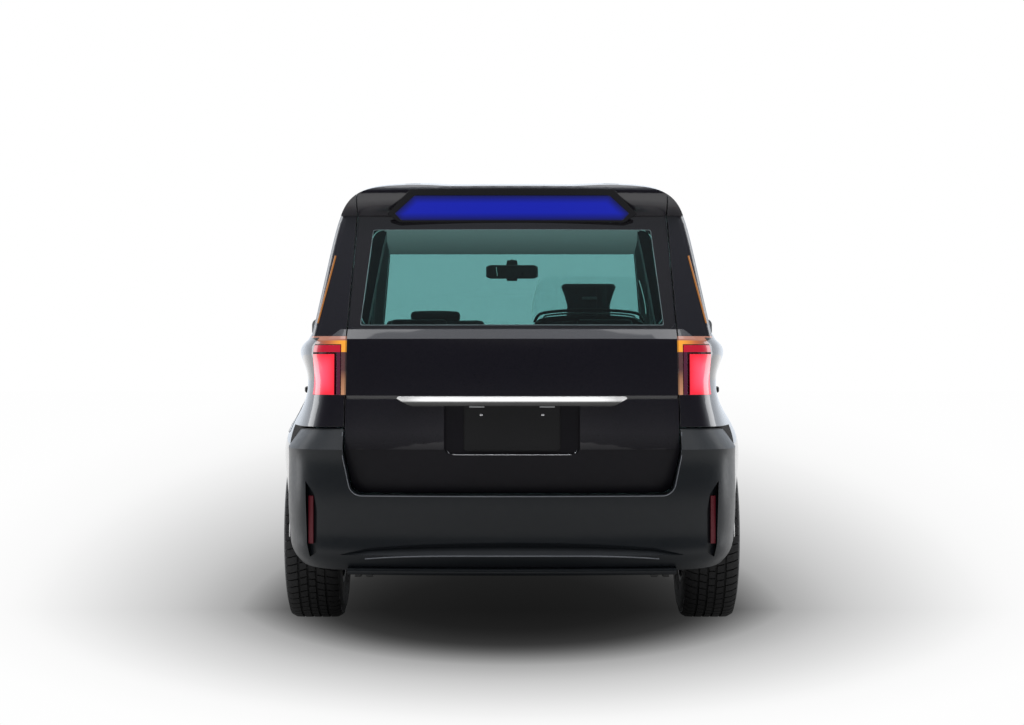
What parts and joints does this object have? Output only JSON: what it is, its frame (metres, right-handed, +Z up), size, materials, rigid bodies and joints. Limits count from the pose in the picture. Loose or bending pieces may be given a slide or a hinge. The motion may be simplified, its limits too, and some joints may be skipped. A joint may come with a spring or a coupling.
{
  "type": "taxi cab",
  "caption": "Tall one-box taxi cab with hinged front doors, a hinged right rear door, a sliding left rear door, a lift-up rear gate and a lit rear roof sign.",
  "frame": {"origin": "on the ground, midway between the two bumpers and the two sides", "axes": "+Z up, +Y forward in the driving direction, +X towards the cab's right hand side, which is the driver's side"},
  "size_m": [1.93, 4.355, 1.6999],
  "materials": {
    "body_paint": "gloss black lacquer with a faint violet tint",
    "bumper_grey": "satin dark slate grey moulding",
    "trim_black": "fine grained black moulding",
    "window_glass": "teal green tinted clear glass",
    "lamp_red": "clear red moulding",
    "lamp_clear": "clear moulding over bright reflectors",
    "sign_blue": "lit deep blue panel with a black surround",
    "bright_trim": "polished bright trim",
    "under_steel": "satin black chassis paint",
    "floor_steel": "satin underbody paint",
    "engine_grey": "as-cast aluminium",
    "exhaust_steel": "dull stainless steel",
    "seat_fabric": "dark woven seat cloth",
    "screen_clear": "clear polycarbonate",
    "tyre_rubber": "matt black tyre rubber",
    "rim_silver": "silver painted alloy"
  },
  "bodies": {
    "body": {"floor_pan": "floor_steel", "body_side_right": "body_paint", "body_side_left": "body_paint", "roof_panel": "body_paint", "fenders": "body_paint", "bumper_front": "bumper_grey", "bumper_rear": "bumper_grey", "grille": "trim_black", "headlamps": "lamp_clear", "lamps_rear": "lamp_red", "windshield": "window_glass", "glass_quarter": "window_glass", "cowl": "trim_black", "sign_front": "sign_blue", "dashboard": "trim_black", "seats_front": "seat_fabric", "seat_rear": "seat_fabric", "driver_screen": "screen_clear", "mirror_inside": "trim_black", "engine": "engine_grey", "suspension_front": "under_steel", "axle_rear": "under_steel", "exhaust": "exhaust_steel", "door_sliding_left": "body_paint", "glass_rear_left": "window_glass"},
    "front_door_right": {"door_front_right": "body_paint", "glass_front_right": "window_glass", "mirror_right": "trim_black"},
    "front_door_left": {"door_front_left": "body_paint", "glass_front_left": "window_glass", "mirror_left": "trim_black"},
    "rear_door_right": {"door_rear_right": "body_paint", "glass_rear_right": "window_glass"},
    "rear_gate": {"tailgate": "body_paint", "glass_tailgate": "window_glass", "sign_rear": "sign_blue", "garnish": "bright_trim"},
    "engine_lid": {"hood": "body_paint"},
    "steer_hub_right": {"knuckle_right": "under_steel"},
    "steer_hub_left": {"knuckle_left": "under_steel"},
    "wheel_front_right": {"tyre_front_right": "tyre_rubber", "rim_front_right": "rim_silver"},
    "wheel_front_left": {"tyre_front_left": "tyre_rubber", "rim_front_left": "rim_silver"},
    "wheel_rear_right": {"tyre_rear_right": "tyre_rubber", "rim_rear_right": "rim_silver"},
    "wheel_rear_left": {"tyre_rear_left": "tyre_rubber", "rim_rear_left": "rim_silver"},
    "hand_wheel": {"steering_wheel": "trim_black"}
  },
  "joints": [
    {"name": "front_door_right_hinge", "type": "hinge", "parent": "body", "child": "front_door_right", "pos_m": [0.80514, 0.9, 0.59], "axis": [0, 0, 1], "range_deg": [0, 65]},
    {"name": "front_door_left_hinge", "type": "hinge", "parent": "body", "child": "front_door_left", "pos_m": [-0.80514, 0.9, 0.59], "axis": [0, 0, -1], "range_deg": [0, 65]},
    {"name": "rear_door_right_hinge", "type": "hinge", "parent": "body", "child": "rear_door_right", "pos_m": [0.78649, -0.07, 0.59], "axis": [0, 0, 1], "range_deg": [0, 70]},
    {"name": "rear_gate_hinge", "type": "hinge", "parent": "body", "child": "rear_gate", "pos_m": [0, -1.85, 1.562], "axis": [-1, 0, 0], "range_deg": [0, 80]},
    {"name": "engine_lid_hinge", "type": "hinge", "parent": "body", "child": "engine_lid", "pos_m": [0, 1.245, 1.03], "axis": [1, 0, 0], "range_deg": [0, 55]},
    {"name": "steer_right", "type": "hinge", "parent": "body", "child": "steer_hub_right", "pos_m": [0.683, 1.365, 0.32], "axis": [0, 0, 1], "range_deg": [-33, 33]},
    {"name": "steer_left", "type": "hinge", "parent": "body", "child": "steer_hub_left", "pos_m": [-0.683, 1.365, 0.32], "axis": [0, 0, 1], "range_deg": [-33, 33]},
    {"name": "spin_front_right", "type": "hinge", "parent": "steer_hub_right", "child": "wheel_front_right", "pos_m": [0.725, 1.365, 0.32], "axis": [1, 0, 0], "continuous": true},
    {"name": "spin_front_left", "type": "hinge", "parent": "steer_hub_left", "child": "wheel_front_left", "pos_m": [-0.725, 1.365, 0.32], "axis": [1, 0, 0], "continuous": true},
    {"name": "spin_rear_right", "type": "hinge", "parent": "body", "child": "wheel_rear_right", "pos_m": [0.725, -1.385, 0.32], "axis": [1, 0, 0], "continuous": true},
    {"name": "spin_rear_left", "type": "hinge", "parent": "body", "child": "wheel_rear_left", "pos_m": [-0.725, -1.385, 0.32], "axis": [1, 0, 0], "continuous": true},
    {"name": "hand_wheel_turn", "type": "hinge", "parent": "body", "child": "hand_wheel", "pos_m": [0.36, 0.56, 0.945], "axis": [0, -0.8829, 0.4695], "range_deg": [-528, 528]}
  ],
  "couplings": [
    {"joint": "steer_left", "follows": "steer_right", "ratio": 1},
    {"joint": "hand_wheel_turn", "follows": "steer_right", "ratio": 16}
  ]
}
